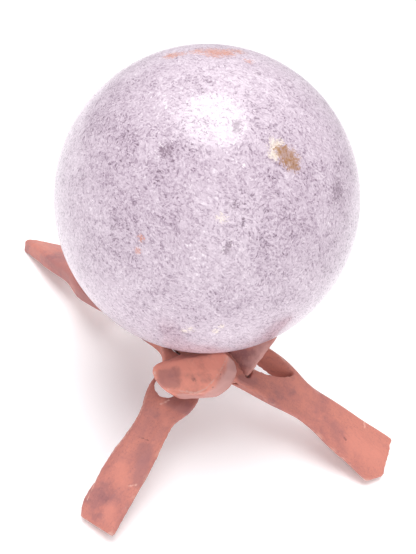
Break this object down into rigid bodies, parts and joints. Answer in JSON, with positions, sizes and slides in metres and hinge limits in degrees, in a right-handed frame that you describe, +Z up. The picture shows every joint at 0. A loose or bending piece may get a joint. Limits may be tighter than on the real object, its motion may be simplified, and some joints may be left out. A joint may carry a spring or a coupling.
{
  "type": "decorative sphere on stand",
  "caption": "Polished lilac stone ball resting on a stand of carved wooden legs that interlock, each head rising through the eye of the next.",
  "frame": {"origin": "on the ground, under the middle of the whole object's box", "axes": "+Z up, +X along the reach of the right leg, +Y away from the picture's viewer"},
  "size_m": [0.1442, 0.1074, 0.1069],
  "materials": {
    "stone": "polished lilac mica stone with fine flakes and a few brown inclusions",
    "wood": "reddish brown stain, knife-carved, worn pale at the edges"
  },
  "bodies": {
    "root": {"ball": "stone", "leg_front": "wood", "leg_right": "wood", "leg_back": "wood"}
  },
  "joints": []
}
